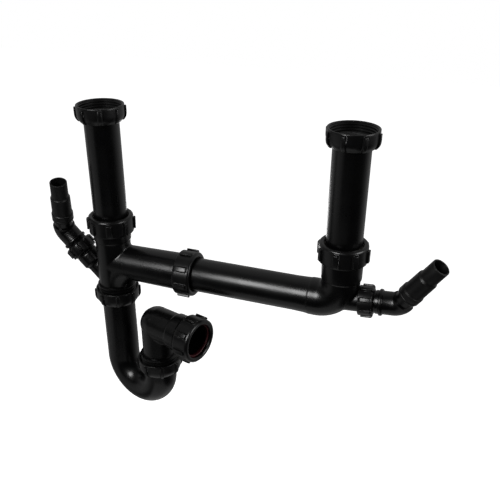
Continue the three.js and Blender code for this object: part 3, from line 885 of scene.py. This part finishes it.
for side, boss in NOZZLE_AXIS.items():
    nut_name = f"{side}_nozzle_nut"
    body = f"{side}_nozzle"
    face = end_of(nut_name, boss)
    lug_turn = Matrix.Rotation(lug_angle(nut_name, face), 4, "Z")
    finished(nozzle_nut(*NUT_SPAN[side]), f"{nut_name}_piece", nut_name, nut_name, "satin_black",
             face @ lug_turn)
    out = Vector(joints[f"{nut_name}_turn"]["axis"])
    tail_way = Vector(MOUNTS[f"{side}_hose_tail_end"]["axis"])
    angle = out.angle(tail_way)
    elbow_place = axes(out, face.translation, tail_way)
    finished(nozzle_elbow(math.degrees(angle), max(NUT_SPAN[side][1], 0)),
             f"{side}_nozzle_elbow_piece", body, f"{side}_nozzle_elbow", "gloss_black",
             elbow_place)
    corner = elbow_place @ Matrix.Translation((0, 0, CORNER * MM))
    finished(hose_tail(), f"{side}_hose_tail_piece", body, f"{side}_hose_tail", "matt_black",
             corner @ Matrix.Rotation(angle, 4, "Y"))

# %% [markdown]
# ## Camera
#
# The camera stands a little above and in front, turned slightly to the right of straight on. Its
# distance sets how fast the crossbar's far end shrinks, and its lens only how large the whole is,
# so both are fixed numbers and neither is worked out from the object's box.

# %% Camera
CAMERA_AT = Vector((0.39835, -0.62767, 0.19571))
YAW = math.radians(-18.92)
PITCH = math.radians(27.13)
ROLL = math.radians(-0.58)

forward = Vector((math.sin(YAW) * math.cos(PITCH), math.cos(YAW) * math.cos(PITCH),
                  -math.sin(PITCH)))
level = Vector((math.cos(YAW), -math.sin(YAW), 0))
down = forward.cross(level)
right = math.cos(ROLL) * level + math.sin(ROLL) * down
below = -math.sin(ROLL) * level + math.cos(ROLL) * down
camera = bpy.data.objects.new("camera", bpy.data.cameras.new("camera"))
camera.data.sensor_width = 36
camera.data.lens = 45.8986
camera.data.clip_start = 0.01
camera.data.clip_end = 50
bpy.context.collection.objects.link(camera)
turn = Matrix((right, -below, -forward)).transposed().to_4x4()
camera.matrix_world = Matrix.Translation(CAMERA_AT) @ turn
bpy.context.scene.camera = camera
print("camera:", [round(v, 3) for v in CAMERA_AT])

# %% [markdown]
# ## Lights
#
# Black plastic shows only what it reflects, so the lights are placed by where their reflections
# fall. One soft box high in front draws the long streak along the crossbar, and a second one on
# the right picks out the rims of the nuts and the right edges of the tubes. Dim cards low on the
# left and in front light the left third of each upright and the trap's legs, and a wide dim one
# below fills the underside of the bend. A weak box behind gives the back of the pipes some form.

# %% Lights
CENTRE = (Vector(cad_box[0]) + Vector(cad_box[1])) / 2


def softbox(name, way, distance, size, radiance):
    """An area light that faces the object's centre from a direction."""
    data = bpy.data.lights.new(name, "AREA")
    data.shape = "RECTANGLE"
    data.size, data.size_y = size
    data.energy = radiance * math.pi * size[0] * size[1]
    light = bpy.data.objects.new(name, data)
    bpy.context.collection.objects.link(light)
    way = Vector(way).normalized()
    light.matrix_world = axes(way, CENTRE + way * distance)
    light.visible_camera = False


softbox("front_box", (-0.275, -0.84, 0.60), 1.6, (0.66, 0.60), 12.8)
softbox("right_box", (0.93, -0.05, 0.34), 1.6, (0.8, 0.8), 6.0)
softbox("left_card", (-0.82, -0.48, -0.33), 1.3, (0.7, 0.95), 0.22)
softbox("low_front_card", (-0.12, -0.78, -0.85), 1.5, (0.2, 0.7), 0.17)
softbox("low_left_card", (-0.70, -0.50, -0.68), 1.5, (0.3, 1.0), 0.16)
softbox("back_box", (-0.42, 0.90, -0.52), 1.5, (0.35, 0.6), 2.5)
softbox("under_card", (0.0, -0.20, -0.98), 1.1, (1.1, 1.4), 0.30)
print("lights:", len(bpy.data.lights))

# %% [markdown]
# ## The room
#
# The surroundings are pale behind the object and nearly dark in front of it, which gives every
# pipe its thin bright rims and its black middle. The background itself has to be plain white, so
# the camera's own rays see full strength and only the reflections see the fade.

# %% World
BEHIND = (-0.25, 0.95, 0.1)
DARK_SIDE = 0.006
PALE_SIDE = 0.3

world = bpy.data.worlds.new("room")
world.use_nodes = True
bpy.context.scene.world = world
nodes = world.node_tree.nodes
links = world.node_tree.links
seen = nodes.new("ShaderNodeLightPath")
heading = nodes.new("ShaderNodeTexCoord")
behind = nodes.new("ShaderNodeVectorMath")
behind.operation = "DOT_PRODUCT"
behind.inputs[1].default_value = BEHIND
links.new(heading.outputs["Generated"], behind.inputs[0])
fade = nodes.new("ShaderNodeMapRange")
fade.interpolation_type = "SMOOTHSTEP"
fade.inputs["From Min"].default_value = -0.35
fade.inputs["From Max"].default_value = 0.6
fade.inputs["To Min"].default_value = DARK_SIDE
fade.inputs["To Max"].default_value = PALE_SIDE
links.new(behind.outputs["Value"], fade.inputs["Value"])
strength = nodes.new("ShaderNodeMix")
strength.data_type = "FLOAT"
strength.inputs["B"].default_value = 1.0
links.new(seen.outputs["Is Camera Ray"], strength.inputs["Factor"])
links.new(fade.outputs["Result"], strength.inputs["A"])
back = nodes["Background"]
back.inputs["Color"].default_value = (1, 1, 1, 1)
links.new(strength.outputs["Result"], back.inputs["Strength"])
bpy.context.scene.view_settings.view_transform = "Standard"
print("room: from", DARK_SIDE, "in front to", PALE_SIDE, "behind")

# %% [markdown]
# ## Floor
#
# A plain white floor lies far enough below it to catch no shadow, and it's hidden from
# reflections, which the room gives.

# %% Floor
FLOOR_DROP = 0.8
FLOOR_HALF = 6

white = bpy.data.materials.new("floor white")
white.use_nodes = True
white_shader = white.node_tree.nodes["Principled BSDF"]
white_shader.inputs["Base Color"].default_value = (0.9, 0.9, 0.9, 1)
white_shader.inputs["Roughness"].default_value = 0.9
white_shader.inputs["Emission Color"].default_value = (1, 1, 1, 1)
white_shader.inputs["Emission Strength"].default_value = 0.95
bm = bmesh.new()
bmesh.ops.create_grid(bm, x_segments=1, y_segments=1, size=FLOOR_HALF)
bmesh.ops.translate(bm, verts=bm.verts, vec=(0, 0, cad_box[0][2] - FLOOR_DROP))
floor = shell(bm, "floor")
floor.data.materials.append(white)
floor.visible_glossy = False
floor.visible_diffuse = False
print("stage: floor at", round(cad_box[0][2] - FLOOR_DROP, 3))
